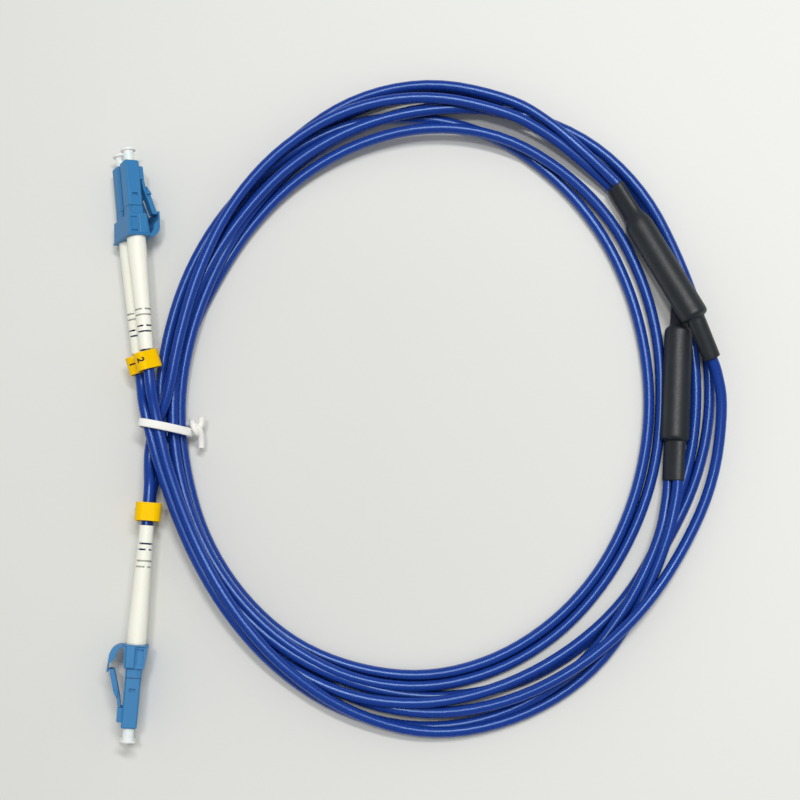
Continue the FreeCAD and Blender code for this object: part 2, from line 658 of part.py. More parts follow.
def is_cord(node):
    return node.startswith(("leg_", "trunk_end", "cord_coil"))


def bounds(shapes):
    """Exact bounding box of several shapes."""
    box = FreeCAD.BoundBox()
    for shape in shapes:
        box.add(shape.optimalBoundingBox())
    return box


def save(pieces):
    """Put the origin under the middle of all pieces but the cord, then write one file per node."""
    box = bounds(shape for node, shape in pieces.items() if not is_cord(node))
    shift = Vector(-box.Center.x, -box.Center.y, 0)
    print(f"shift {shift.x:.4f} {shift.y:.4f}")
    for node, shape in pieces.items():
        shape.translate(shift)
        shape.exportStep(f"parts/{node}.step")
        box = shape.optimalBoundingBox()
        print(f"{node}: solids {len(shape.Solids)}, valid {shape.isValid()}, "
              f"volume {shape.Volume:.2f}, x {box.XMin:.2f} {box.XMax:.2f}, "
              f"y {box.YMin:.2f} {box.YMax:.2f}, z {box.ZMin:.2f} {box.ZMax:.2f}")


def plug_pieces(marker):
    """The pieces of one plug, in the plug's own frame."""
    return {
        "plug_housing": plug_housing(),
        "latch": latch(),
        "ferrule": ferrule(),
        "spring": spring(),
        "rear_body": rear_body(),
        "crimp_ring": crimp_ring(),
        "boot": boot(),
        "dust_cap": dust_cap(),
        "marker_ring": marker,
    }


def lifted(front, place, shapes):
    """Raise a duplex end until its lowest point is on the table."""
    lowest = 0.0
    for shape in shapes:
        moved = shape.copy()
        moved.Placement = place
        lowest = min(lowest, moved.BoundBox.ZMin)
    return Placement(front + Vector(0, 0, -lowest), place.Rotation)


def duplex_end(end, front, heading, roll, nose_down, routes, marker):
    """One end: two plugs in a clip, and the free stretch of their two legs."""
    shift = {1: PLUG_PITCH / 2, 2: -PLUG_PITCH / 2}
    pair = {f"duplex_clip_{end}": duplex_clip(), f"clip_trigger_{end}": trigger()}
    for number, x in shift.items():
        for name, shape in plug_pieces(marker).items():
            moved = shape.copy()
            moved.translate(Vector(x, 0, 0))
            pair[f"{name}_{end}{number}"] = moved
    place = end_placement(front, heading, roll, nose_down)
    place = lifted(front, place, pair.values())
    pieces = {node: shape.transformed(place.toMatrix()) for node, shape in pair.items()}
    for number, x in shift.items():
        backs = (LEG_START_BACK, LEG_STRAIGHT_BACK)
        straight = [place.multVec(Vector(x, -back, 0)) for back in backs]
        pieces[f"leg_{end}{number}"] = cord(straight + routes[number], f"leg_{end}{number}")
        print(f"leg_{end}{number}: {straight + routes[number]}")
    hinge_back, hinge_height = trigger_hinge()
    across = place.Rotation.multVec(Vector(1, 0, 0))
    nose = place.Rotation.multVec(Vector(0, 1, 0))
    print(f"end {end}: before the shift, origin {place.Base}, across {across}, nose {nose}")
    print(f"end {end}: trigger hinge {place.multVec(side(hinge_back, hinge_height))}")
    for number, x in shift.items():
        at = place.multVec(Vector(x, -LATCH_HINGE_BACK, latch_hinge_height()))
        print(f"end {end}: latch {number} hinge {at}, front {place.multVec(Vector(x, 0, 0))}")
    return pieces


def breakout_pieces(end, breakout):
    """One breakout: sleeve, rigid tube and the three cord ends in it."""
    pieces = {
        f"shrink_sleeve_{end}": shrink_sleeve(breakout),
        f"breakout_tube_{end}": breakout_tube(breakout),
        f"trunk_end_{end}": cord_end(trunk_line(breakout)),
    }
    for number, ends in enumerate(leg_lines(breakout), 1):
        pieces[f"leg_end_{end}{number}"] = cord_end(ends)
    return pieces


def main():
    os.makedirs("parts", exist_ok=True)
    pieces = duplex_end("a", END_A_FRONT, END_A_HEADING_DEG, END_A_ROLL_DEG, END_A_NOSE_DOWN_DEG,
                        {1: LEG_A1_ROUTE, 2: LEG_A2_ROUTE},
                        marker_ring(MARKER_A_OFFSET, MARKER_A_SKEW_DEG))
    pieces.update(duplex_end("b", END_B_FRONT, END_B_HEADING_DEG, END_B_ROLL_DEG,
                             END_B_NOSE_DOWN_DEG, {1: LEG_B1_ROUTE, 2: LEG_B2_ROUTE},
                             marker_ring(MARKER_B_OFFSET, 0)))
    for end, breakout in (("a", BREAKOUT_A), ("b", BREAKOUT_B)):
        pieces.update(breakout_pieces(end, breakout))
    pieces["twist_tie"] = twist_tie()
    pieces["cord_coil"] = coil()
    save(pieces)


main()
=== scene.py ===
import math

import bpy
from bpy.props import FloatProperty, FloatVectorProperty, PointerProperty
from mathutils import Matrix, Vector


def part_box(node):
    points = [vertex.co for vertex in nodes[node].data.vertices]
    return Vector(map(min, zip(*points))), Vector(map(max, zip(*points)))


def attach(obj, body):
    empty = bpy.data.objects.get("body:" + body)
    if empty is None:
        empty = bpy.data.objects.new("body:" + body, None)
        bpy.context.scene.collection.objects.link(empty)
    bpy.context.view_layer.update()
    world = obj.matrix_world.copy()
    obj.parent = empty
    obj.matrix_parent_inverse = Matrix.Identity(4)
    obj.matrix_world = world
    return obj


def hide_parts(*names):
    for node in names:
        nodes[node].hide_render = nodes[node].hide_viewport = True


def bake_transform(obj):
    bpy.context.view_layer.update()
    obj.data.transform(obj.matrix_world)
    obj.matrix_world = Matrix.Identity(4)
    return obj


bl_info = {
    "name": "Tied Fibre Patch Cord",
    "version": (1, 0, 0),
    "blender": (4, 5, 0),
    "location": "View3D > Sidebar > Patch Cord",
    "description": "Lays a duplex fibre patch cord in a tied coil and gives its plugs their finish",
    "category": "Object",
}

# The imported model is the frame. All lengths here are millimetres until point() turns them to metres,
# apart from those that say metres.
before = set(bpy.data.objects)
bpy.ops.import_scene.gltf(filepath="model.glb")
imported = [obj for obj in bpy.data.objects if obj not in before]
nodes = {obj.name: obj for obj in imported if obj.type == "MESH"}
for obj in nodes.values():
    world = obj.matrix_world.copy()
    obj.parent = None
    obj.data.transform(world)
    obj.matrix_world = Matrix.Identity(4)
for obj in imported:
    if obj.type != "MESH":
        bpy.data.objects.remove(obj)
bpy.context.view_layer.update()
MM = 0.001
ROOT = "cord_and_plugs"

# The sketch that the sizes come from has its own origin, found again from the coil's solid.
SKETCH_COIL_CENTRE = Vector((8.0, 13.65, 0))
coil_low, coil_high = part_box("cord_coil")
SKETCH_SHIFT = (coil_low + coil_high) / 2 / MM - SKETCH_COIL_CENTRE
SKETCH_SHIFT.z = 0

# The photograph: its lens looks down a little from the plugs' lower end. Its width in pixels, one
# pixel on the table under the lens axis, the pixel of the axis, and the sketch's place there.
PHOTO_WIDTH = 800
PIXEL = 0.30
PIXEL_ON_AXIS = Vector((400, 400))
AXIS_PLACE = Vector((-3.9, 13.2, 3.0))
LENS_DISTANCE = 432.0
LENS_TILT = math.radians(7.5)
SENSOR_WIDTH = 36.0
# The nearest thing that the camera shows, in metres
NEAR_CLIP = 0.01

# The coil is read about one pixel, every fifteen degrees. Zero is to the right, and a turn runs
# clockwise: right, bottom, left, top. Each row is one turn of the trunk: first the pixels from the
# middle, then how many cords it lies above the table.
COIL_PIXEL = Vector((430, 405))
TURN_STEP = 15
CORD_TURNS = (
    (291, 292, 290, 294.5, 300, 306, 308.5, 303, 291, 281, 268, 259,
     254, 249.5, 246, 252, 261.3, 270.3, 277.5, 277.5, 267.8, 257.7, 244.8, 235.6),
    (229.5, 232, 237.5, 247.4, 260.6, 272.2, 281.6, 284.2, 279, 272, 265, 259.5,
     256.5, 256.5, 259.5, 265.6, 277, 286.7, 295, 303.5, 308, 300.5, 286, 282.5),
    (279.5, 275.5, 272, 278, 285.5, 291.5, 292, 288.5, 285, 279, 272, 266,
     264, 264, 267, 274, 287, 303.5, 312.5, 306, 293, 283, 276, 269.5),
    (265.5, 265, 265, 275, 281.5, 289.5, 298, 302, 297, 287.5, 278.5, 272,
     270, 269.8, 274.8, 281.6, 287.5, 292, 286, 274, 257, 242, 229, 221),
    (218.5, 220, 226.5, 237.3, 249, 261.2, 270.7, 273, 273.5, 267.3, 260, 251.8,
     249.3, 248, 251.5, 261.5, 273, 285, 298, 302, 300, 296.5),
)
CORD_LAYERS = (
    (1.5, 0.8, 1.0, 1.9, 2.0, 1.4, 0.9, 0.3, 0, 0, 0, 0,
     0, 0, 0, 0.2, 0.6, 1.2, 1.5, 1.4, 0.8, 0.2, 0, 0),
    (0, 0, 0, 0, 0, 0, 0.2, 0.6, 1.0, 1.0, 1.0, 1.0,
     1.0, 1.0, 1.2, 1.4, 1.6, 1.6, 1.4, 1.0, 0.7, 0.9, 0.4, 0.2),
    (0, 0, 0, 0, 0, 0, 0, 0.4, 1.0, 0.9, 0.6, 0.2,
     0, 0, 0, 0, 0, 0, 0, 0, 0, 0, 0, 0),
    (0, 0, 0, 0, 0.6, 1.0, 1.1, 1.3, 1.0, 0.8, 0.7, 0.6,
     0.6, 0.9, 1.0, 1.0, 0.9, 0.5, 0.1, 0, 0, 0, 0, 0),
    (0, 0, 0, 0, 0, 0, 0, 0, 0, 0, 0, 0.2,
     0.6, 0.9, 0.9, 0.7, 0.4, 0.2, 0, 0, 0, 0),
)
# One cord lies this far above the next, and a lane runs a little inside its control points.
LAYER = 2.95
LANE_SWELL = 1.0086

# The legs between ring and sleeve: degrees, pixels and cords above the table
LEG_LANES = {
    "a1": ((180, 284.3, 2.6), (172, 277, 2.5), (165, 274.7, 2.3), (150, 277.5, 1.9),
           (135, 288.5, 1.6), (120, 304, 1.0), (105, 318.5, 0.1), (90, 323.5, 0.0),
           (75, 316.5, 0.0), (60, 301, 0.8), (45, 280, 1.0), (30, 264, 1.0)),
    "a2": ((180, 274.3, 2.7), (172, 269, 2.6), (165, 267.5, 2.4), (150, 270.4, 2.1),
           (135, 281.8, 2.2), (120, 299, 2.1), (105, 316.5, 1.3), (90, 329, 0.5),
           (75, 325, 0.1), (60, 313.5, 0.1), (45, 291, 0.9), (30, 271.7, 1.3)),
    "b1": ((165.5, 279.5, 0.4), (169, 273.5, 0.3), (173, 267.5, 0.3), (178, 262.5, 0.3),
           (186, 262.5, 0.2), (195, 267, 0.0), (210, 270, 0.0), (225, 279, 0.1),
           (240, 294, 0.9), (255, 314, 1.0), (270, 321.5, 1.2), (285, 314.5, 1.5),
           (293, 304.5, 1.7), (300, 295.5, 1.8)),
    "b2": ((167, 286, 1.8), (171, 281.5, 1.4), (174.5, 275.5, 1.3), (178, 267, 1.4),
           (182, 260, 1.7), (195, 258.3, 2.0), (210, 266, 2.1), (225, 281, 2.2),
           (240, 296, 2.3), (255, 306.9, 2.3), (270, 308.5, 2.2), (285, 301, 2.15),
           (293, 293.5, 1.7), (300, 287, 1.3)),
}

# The two plug ends and the breakouts lie where the part's source has them. The legs in the neck of
# breakout a are turned the other way, so that the outer one lies on top as in the photograph.
ENDS = {
    "a": {"front": (-87.2, 84.4, 7.651), "heading": 6.7, "nose_down": 1.0, "roll": 122.0},
    "b": {"front": (-82.2, -82.5, 6.813), "heading": 176.15, "nose_down": 0.0, "roll": 80.0},
}
PLUG_NUMBERS = (1, 2)
PLUG_PITCH = 6.25
BREAKOUTS = {
    "a": {"leg_end": (66.8, 69.5, 5.4), "leg_mouth": (61.7, 78.4, 4.6), "legs_turned": -65.0,
          "leg_shoulder": "drawn", "trunk_shoulder": "folded", "leg_beyond": 0.8, "trunk_beyond": 4.0,
          "trunk_end": (83.8, 36.6, 11.3), "trunk_mouth": (88.8, 25.0, 8.6)},
    "b": {"leg_end": (78.0, 0.7, 4.25), "leg_mouth": (77.2, -11.2, 4.25), "legs_turned": 45.0,
          "leg_shoulder": "folded", "trunk_shoulder": "round", "leg_beyond": 4.0, "trunk_beyond": 4.0,
          "trunk_end": (80.1, 35.2, 4.25), "trunk_mouth": (81.0, 47.1, 2.9)},
}

# A leg runs straight through boot and ring, from here to here behind its plug's front. The legs of
# an end lead to the other end's breakout, and each leg lies on one side of the neck there. The
# lengths of legs and trunk are in metres.
LEG_STRAIGHT = (29.6, 67.7)
LEG_ROUTES = (("b", "a", 0.281), ("a", "b", 0.307))
LEG_SIDES = ((1, 1), (2, -1))
# How far inside a sleeve's neck a cord starts, and how finely cords are drawn
MOUTH_INSIDE = 2.0
CORD_RESOLUTION = 5
ROUND_RESOLUTION = 4

# A shrunk sleeve: half sizes of its body and necks, the share of a cord that a neck of two legs is
# wider on each side, and its wall. Its loops sit at shares of a neck's length, turn from neck to
# body past the neck, and swell by a shoulder's rows of distance and share.
SLEEVE_BODY = 4.25
SLEEVE_NECK = {"leg": 2.3, "trunk": 2.65}
LEG_SPREAD = 0.8
SLEEVE_WALL = 0.6
SLEEVE_SIDES = 28
SLEEVE_SUBDIVISION = 2
NECK_STEPS = (0.0, 0.04, 0.35, 0.72)
NECK_BEND = 0.5
SHOULDERS = {
    "folded": ((-0.7, 0.0), (-0.2, -0.04), (0.0, 0.10), (0.15, 0.62), (0.7, 0.97), (1.5, 1.02),
               (3.5, 1.0), (7.0, 1.0)),
    "drawn": ((-1.5, 0.02), (0.4, 0.12), (1.8, 0.50), (3.2, 0.90), (4.4, 1.02), (6.0, 1.0), (8.0, 1.0)),
    "round": ((-0.7, 0.02), (0.0, 0.22), (0.4, 0.70), (1.1, 0.97), (2.2, 1.02), (4.0, 1.0), (7.0, 1.0)),
}

# The tie, in an upright plane across the bundle: distance along it and height
TIE_CENTRE = Vector((-73.7, 4.4, 0))
TIE_HEADING = math.radians(-10.4)
TIE_LOOP = ((8.0, 5.2), (7.9, 7.6), (4.4, 10.5), (0.4, 12.3), (-3.4, 12.7), (-6.7, 12.0), (-7.2, 8.6),
            (-7.0, 3.0), (-6.0, 0.55), (0.0, 0.5), (6.2, 0.55), (7.7, 2.8))
# Its tails: pixels of the photograph and heights
TIE_TAILS = (
    ((187.5, 434.5, 5.0), (190, 434, 5.4), (194, 431.5, 5.6), (198.5, 428.5, 5.8), (201, 425, 6.0),
     (201.6, 421, 6.2), (202, 416.5, 6.6)),
    ((188.5, 424, 4.6), (190.5, 423.5, 5.8), (195, 425.5, 6.8), (199, 428.5, 7.0), (201, 434, 6.0),
     (201.2, 441, 5.0), (201.2, 447.5, 4.6)),
    ((191.5, 421, 4.6), (191.8, 421.8, 6.6), (193.6, 426, 8.0), (196.2, 431.5, 7.8),
     (197.4, 434.6, 6.2), (197, 435, 4.6)),
)
TIE_RESOLUTION = 6
TIE_EDGE_SHARE = 1 / 6

# A number ring: half thickness across its leg, half of its straight run, where its figure sits
RING_HALF = 2.35
RING_RUN = 1.4
RING_BACK = 61.5
# The figure: how far round the ring's bend it is turned and on which side, its height and stroke,
# how askew it is, and how it is laid on the ring
FIGURE_TURN = math.radians(43.0)
FIGURE_SIDE = {"a": -1, "b": 1}
FIGURE_SKEW = {"a": math.radians(-12.0), "b": 0.0}
FIGURE_HEIGHT = 2.1
TEXT_SIZE_PER_HEIGHT = 1.4
FIGURE_STROKE = 0.10
FIGURE_CUTS = 4
FIGURE_DROP = 1.0
INK_LIFT = 0.03

# A ferrule's spring: where its wire starts and ends behind the plug's front, and its sizes
SPRING_FRONT = 6.59
SPRING_BACK = 9.93
SPRING_RADIUS = 1.1
SPRING_WIRE = 0.3
SPRING_TURNS = 3
SPRING_SIDES = 10
SPRING_STEPS = 24

SMOOTH_ANGLE = math.radians(40)

# How near another surface must lie to darken a cord and a boot's slits with painted shade, in metres
CORD_PAINTED_SHADE = 0.0012
SLIT_PAINTED_SHADE = 0.0007

# The joint of housing and rear body: distance behind the front, half its width, and its darkness
SEAM_BACK = 14.2
SEAM_HALF = 0.11
SEAM_SHARE = 0.75
SEAM_COLOUR = (0.002, 0.012, 0.03)
# How round a moulded edge catches the light, in metres
MOULDED_EDGE = 0.00022

# The table, in metres: its radius, its height, and where it starts and ends to turn to the backdrop
TABLE_SIDES = 96
TABLE_RADIUS = 1.0
TABLE_TOP = -0.0002
GLOW_FROM = 0.20
GLOW_TO = 0.72
# Inside the coil the table is a little darker with painted shade, up to this far from the middle
PAINTED_SHADE_FROM = 0.03
PAINTED_SHADE_TO = 0.13

# Lamps over the table: place from the lens axis and size in metres, and watts
LAMPS = (
    ("key_lamp", (0.16, 0.35, 1.05), (0.40, 0.10), 4.9),
    ("upper_lamp", (-0.10, 0.14, 1.15), (0.12, 0.12), 2.7),
)


class CordSettings(bpy.types.PropertyGroup):
    diameter: FloatProperty(
        name="Diameter", description="Outside of the cord's jacket", default=0.0033, unit="LENGTH")
    colour: FloatVectorProperty(
        name="Jacket", description="Blue of the jacket", subtype="COLOR", size=3, min=0, max=1,
        default=(0.0098, 0.0512, 0.332))
    deep_colour: FloatVectorProperty(
        name="Jacket, deeper", description="Darker streaks in the jacket", subtype="COLOR", size=3,
        min=0, max=1, default=(0.008, 0.0412, 0.29))


class PlugSettings(bpy.types.PropertyGroup):
    blue: FloatVectorProperty(
        name="Plug", description="Moulded blue of the plugs", subtype="COLOR", size=3, min=0, max=1,
        default=(0.027, 0.195, 0.44))
    ivory: FloatVectorProperty(
        name="Boot", description="Ivory of the strain reliefs", subtype="COLOR", size=3, min=0, max=1,
        default=(0.98, 0.97, 0.86))
    cap: FloatVectorProperty(
        name="Dust cap", description="Milky white of the caps", subtype="COLOR", size=3, min=0, max=1,
        default=(0.94, 0.95, 0.92))
    yellow: FloatVectorProperty(
        name="Number ring", description="Yellow of the number rings", subtype="COLOR", size=3, min=0,
        max=1, default=(1.0, 0.62, 0.0))


class SleeveSettings(bpy.types.PropertyGroup):
    black: FloatVectorProperty(
        name="Sleeve", description="Black of the shrunk sleeves", subtype="COLOR", size=3, min=0,
        max=1, default=(0.015, 0.019, 0.023))


class TieSettings(bpy.types.PropertyGroup):
    width: FloatProperty(
        name="Width", description="Width of the twist tie", default=0.0024, unit="LENGTH")
    tail: FloatProperty(
        name="Tail", description="Thickness of its twisted tails", default=0.0019, unit="LENGTH")
    white: FloatVectorProperty(
        name="Tie", description="White of the twist tie", subtype="COLOR", size=3, min=0, max=1,
        default=(0.97, 0.96, 0.91))


class StageSettings(bpy.types.PropertyGroup):
    table: FloatVectorProperty(
        name="Table", description="Pale table under the cord", subtype="COLOR", size=3, min=0, max=1,
        default=(0.86, 0.865, 0.825))
    key: FloatProperty(
        name="Lamps", description="Strength of the lamps over the table", default=1.0)
    fill: FloatProperty(name="Room light", description="Strength of the world", default=0.45)
    backdrop: FloatProperty(
        name="Backdrop", description="Strength of the world behind the table", default=0.80)
    glow: FloatProperty(
        name="Far table", description="Light that the far table shows, up to the backdrop", default=0.33)
    gloss: FloatProperty(
        name="Room in reflections", description="Strength of the world in glossy things", default=0.10)


class Wire:
    """One output of a shader node. Sums written with it add the Math nodes they need."""

    def __init__(self, tree, socket):
        self.tree = tree
        self.socket = socket

    def _math(self, operation, other):
        return self.tree.node("ShaderNodeMath", {"operation": operation}, {0: self, 1: other})

    def __add__(self, other):
        return self._math("ADD", other)

    __radd__ = __add__

    def __mul__(self, other):
        return self._math("MULTIPLY", other)


class NodeTree:
    """A shader tree that nodes are added to."""

    def __init__(self, tree):
        self.tree = tree

    def node(self, kind, settings=None, inputs=None, output=0):
        """Add a node, set it up, then fill or link its sockets."""
        made = self.tree.nodes.new(kind)
        for key, value in (settings or {}).items():
            setattr(made, key, value)
        for key, value in (inputs or {}).items():
            if isinstance(value, Wire):
                self.tree.links.new(value.socket, made.inputs[key])
            else:
                made.inputs[key].default_value = value
        return Wire(self, made.outputs[output])


class Finish(NodeTree):
    """A node material, built up on the shader of a new material."""

    def __init__(self, name, **fixed):
        self.material = bpy.data.materials.new(name)
        self.material.use_nodes = True
        super().__init__(self.material.node_tree)
        self.shader = self.tree.nodes["Principled BSDF"]
        for socket, value in fixed.items():
            self.socket(socket).default_value = value

    def socket(self, name):
        """An input of the shader, by its name in small letters."""
        return self.shader.inputs["IOR" if name == "ior" else name.replace("_", " ").title()]

    def place(self):
        return self.node("ShaderNodeTexCoord", output="Object")

    def noise(self, scale, detail):
        return self.node("ShaderNodeTexNoise", None,
                         {"Vector": self.place(), "Scale": scale, "Detail": detail})

    def rise(self, value, start, end):
        """A smooth step, from 0 where the value is at its start to 1 at its end."""
        return self.node("ShaderNodeMapRange", {"interpolation_type": "SMOOTHSTEP"},
                         {"Value": value, "From Min": start, "From Max": end})

    def blend(self, share, first, second):
        sides = [side if isinstance(side, Wire) else (*side, 1) for side in (first, second)]
        return self.node("ShaderNodeMix", {"data_type": "RGBA"},
                         {0: share, 6: sides[0], 7: sides[1]}, output=2)

    def closed_in(self, colour, reach):
        """The colour with painted shade: darker where other surfaces lie closer than this reach."""
        painted_shade_factor = self.node("ShaderNodeAmbientOcclusion", {"samples": 8}, {"Distance": reach}, "AO")
        return self.node("ShaderNodeVectorMath", {"operation": "MULTIPLY"}, {0: colour, 1: painted_shade_factor})

    def bump(self, height, distance):
        return self.node("ShaderNodeBump", None,
                         {"Height": height, "Distance": distance, "Strength": 1.0})

    def feed(self, **links):
        for socket, wire in links.items():
            self.tree.links.new(wire.socket, self.socket(socket))
        return self.material


def toned(colour, *shares):
    """A colour made lighter or darker, by one share for all its parts or by one for each."""
    return tuple(part * share for part, share in zip(colour, shares * 3))


def jacket_finish(settings):
    """Glossy blue jacket with faint streaks, drawn tight over the armour's turns, and painted shade
    where other surfaces lie close.
    """
    made = Finish("blue_jacket", ior=1.65, specular_tint=(0.48, 0.70, 1.0, 1.0))
    tone = made.noise(scale=55.0, detail=2.0)
    grain = made.noise(scale=900.0, detail=2.0)
    return made.feed(
        base_color=made.closed_in(made.blend(tone, settings.colour, settings.deep_colour), CORD_PAINTED_SHADE),
        roughness=0.235 + tone * 0.05 + grain * 0.03,
        normal=made.bump(grain, distance=0.0000015))


def plug_finish(settings, end=None):
    """Satin moulded blue with the fine texture of the tool, and the joint across an end's plugs."""
    made = Finish(f"moulded_blue_{end}" if end else "moulded_blue", ior=1.48)
    tone = made.noise(scale=140.0, detail=3.0)
    grain = made.noise(scale=3500.0, detail=2.0)
    colour = made.blend(tone, settings.blue, toned(settings.blue, 1.18))
    if end:
        turn, front = end_frame(end)
        forward = turn.col[1]
        along = made.node("ShaderNodeVectorMath", {"operation": "DOT_PRODUCT"},
                          {0: made.place(), 1: forward}, "Value")
        seam = made.node("ShaderNodeMath", {"operation": "COMPARE"},
                         {0: along, 1: point(front).dot(forward) - SEAM_BACK * MM, 2: SEAM_HALF * MM})
        colour = made.blend(seam * SEAM_SHARE, colour, SEAM_COLOUR)
    return made.feed(
        base_color=colour,
        roughness=0.36 + grain * 0.14,
        normal=made.node("ShaderNodeBevel", {"samples": 6},
                         {"Radius": MOULDED_EDGE, "Normal": made.bump(grain, distance=0.00001)}))


def boot_finish(settings):
    """Soft ivory moulding, with painted shade in its slits and where other surfaces lie close."""
    made = Finish("ivory_boot", ior=1.45, subsurface_weight=0.12, subsurface_scale=0.002)
    tone = made.noise(scale=120.0, detail=2.0)
    grain = made.noise(scale=2600.0, detail=2.0)
    ivory = made.blend(tone, settings.ivory, toned(settings.ivory, 0.985, 0.975, 0.94))
    return made.feed(
        base_color=made.closed_in(ivory, SLIT_PAINTED_SHADE),
        roughness=0.42 + grain * 0.12,
        normal=made.bump(grain, distance=0.00001))


def cap_finish(settings):
    """Milky cap that lets a little light through."""
    made = Finish("milky_cap", ior=1.45, subsurface_weight=0.35, subsurface_scale=0.004)
    tone = made.noise(scale=300.0, detail=2.0)
    return made.feed(
        base_color=made.blend(tone, settings.cap, toned(settings.cap, 0.95)),
        roughness=0.25 + tone * 0.15)


def ring_finish(settings):
    """Yellow ring with a slightly uneven, rubbed surface."""
    made = Finish("yellow_ring", ior=1.48, specular_tint=(1.0, 0.75, 0.1, 1.0))
    tone = made.noise(scale=260.0, detail=3.0)
    return made.feed(
        base_color=made.blend(tone, settings.yellow, toned(settings.yellow, 0.94, 0.86, 0.8)),
        roughness=0.32 + tone * 0.16,
        normal=made.bump(tone, distance=0.00003))


def sleeve_finish(settings):
    """Shrunk black sleeve: satin, with shallow wrinkles and a fine skin."""
    made = Finish("shrunk_black", ior=1.55)
    wrinkle = made.noise(scale=170.0, detail=2.0)
    skin = made.noise(scale=1800.0, detail=3.0)
    return made.feed(
        base_color=made.blend(wrinkle, settings.black, toned(settings.black, 1.5)),
        roughness=0.41 + skin * 0.13,
        normal=made.bump(wrinkle * 0.75 + skin * 0.25, distance=0.00018))


def tie_finish(settings):
    """Matte white skin over a wire."""
    made = Finish("white_tie", ior=1.45)
    tone = made.noise(scale=220.0, detail=2.0)
    grain = made.noise(scale=2400.0, detail=3.0)
    return made.feed(
        base_color=made.blend(tone, settings.white, toned(settings.white, 0.93)),
        roughness=0.5 + grain * 0.15,
        normal=made.bump(grain, distance=0.00003))


def metal_finish(name, colour, roughness):
    """Bright inner metal with fine turning marks."""
    made = Finish(name, metallic=1.0)
    marks = made.noise(scale=1500.0, detail=3.0)
    return made.feed(
        base_color=made.blend(marks, colour, toned(colour, 0.85)),
        roughness=roughness + marks * 0.15)


def ceramic_finish():
    """Polished white ceramic."""
    made = Finish("white_ceramic", ior=2.1)
    tone = made.noise(scale=800.0, detail=2.0)
    return made.feed(
        base_color=made.blend(tone, (0.85, 0.85, 0.82), (0.80, 0.80, 0.78)),
        roughness=0.08 + tone * 0.06)


def ink_finish():
    """Dark printed figure, a little thin in places."""
    made = Finish("dark_ink", ior=1.45)
    tone = made.noise(scale=1200.0, detail=3.0)
    return made.feed(
        base_color=made.blend(tone, (0.02, 0.012, 0.008), (0.05, 0.03, 0.015)),
        roughness=0.5 + tone * 0.2)


def table_finish(settings):
    """Pale table, lighter to the right and away from the coil's middle as painted light and shade, that
    glows far out.
    """
    made = Finish("pale_table", emission_strength=1.0)
    tone = made.noise(scale=9.0, detail=2.0)
    across = made.node("ShaderNodeSeparateXYZ", None, {0: made.place()})
    away = made.node("ShaderNodeVectorMath", {"operation": "LENGTH"}, {0: made.place()}, "Value")
    # Painted shade inside the coil and painted light to the right, with a random tone
    painted_light_and_tone = made.rise(away, PAINTED_SHADE_FROM, PAINTED_SHADE_TO) * 0.45 + across * 4.0 + tone * 0.1
    seen = made.node("ShaderNodeLightPath", output="Is Camera Ray")
    glow = made.rise(away, GLOW_FROM, GLOW_TO) * seen
    return made.feed(
        base_color=made.blend(painted_light_and_tone, toned(settings.table, 0.86), settings.table),
        roughness=0.6 + tone * 0.1,
        emission_color=made.blend(glow, (0, 0, 0), toned(settings.table, settings.glow)))


def paint(obj, material):
    obj.data.materials.clear()
    obj.data.materials.append(material)


def paint_nodes(material, *stems):
    """Give every CAD node whose name starts with a stem one finish."""
    for name, obj in nodes.items():
        if name.startswith(stems):
            paint(obj, material)


def point(place):
    """A place of the sketch, in the frame's metres."""
    return (Vector(place) + SKETCH_SHIFT) * MM


def from_pixel(pixel, height):
    """Where a thing of this height lies, if the photograph shows it at this pixel."""
    right, up = (pixel - PIXEL_ON_AXIS) * PIXEL / LENS_DISTANCE
    rise = height - AXIS_PLACE.z
    sine, cosine = math.sin(LENS_TILT), math.cos(LENS_TILT)
    y = (-up * LENS_DISTANCE - rise * (sine - up * cosine)) / (cosine + up * sine)
    depth = LENS_DISTANCE + y * sine - rise * cosine
    return Vector((AXIS_PLACE.x + right * depth, AXIS_PLACE.y + y, height))


def end_frame(end):
    """Turn and place of a plug end's own frame: X from plug to plug, Y forward, Z the latch side."""
    data = ENDS[end]
    turn = (Matrix.Rotation(math.radians(data["heading"]), 3, "Z")
            @ Matrix.Rotation(math.radians(-data["nose_down"]), 3, "X")
            @ Matrix.Rotation(math.radians(data["roll"]), 3, "Y"))
    return turn, Vector(data["front"])


def on_plug(end, number, x, back, z):
    """A place in the frame of one plug, in the sketch. The two plugs lie about their end's middle."""
    turn, front = end_frame(end)
    middle_number = sum(PLUG_NUMBERS) / 2
    return front + turn @ Vector((x + (middle_number - number) * PLUG_PITCH, -back, z))


def on_lane(degrees, radius, layer, diameter):
    """A place of the coil, by its direction from the coil's middle, its pixels and its layer."""
    turn = math.radians(degrees)
    pixel = COIL_PIXEL + Vector((math.cos(turn), math.sin(turn))) * radius * LANE_SWELL
    return from_pixel(pixel, diameter / 2 + layer * LAYER)


def neck_way(breakout, kind):
    """The way a breakout's neck points, out of its sleeve."""
    return (Vector(breakout[kind + "_mouth"]) - Vector(breakout[kind + "_end"])).normalized()


def run_of(breakout, kind):
    """From inside a breakout's neck to a little past its mouth."""
    end, mouth = Vector(breakout[kind + "_end"]), Vector(breakout[kind + "_mouth"])
    way = neck_way(breakout, kind)
    return [end - way * MOUTH_INSIDE, mouth, mouth + way * breakout[kind + "_beyond"]]


def legs_across(breakout):
    """The way from one leg to the other in their neck."""
    way = neck_way(breakout, "leg")
    level = way.cross(Vector((0, 0, 1))).normalized()
    return Matrix.Rotation(math.radians(breakout["legs_turned"]), 3, way) @ level


def leg_run(breakout, side, diameter):
    """The run of one of the two legs, which lie side by side in their neck."""
    aside = legs_across(breakout) * side * diameter / 2
    return [place + aside for place in run_of(breakout, "leg")]


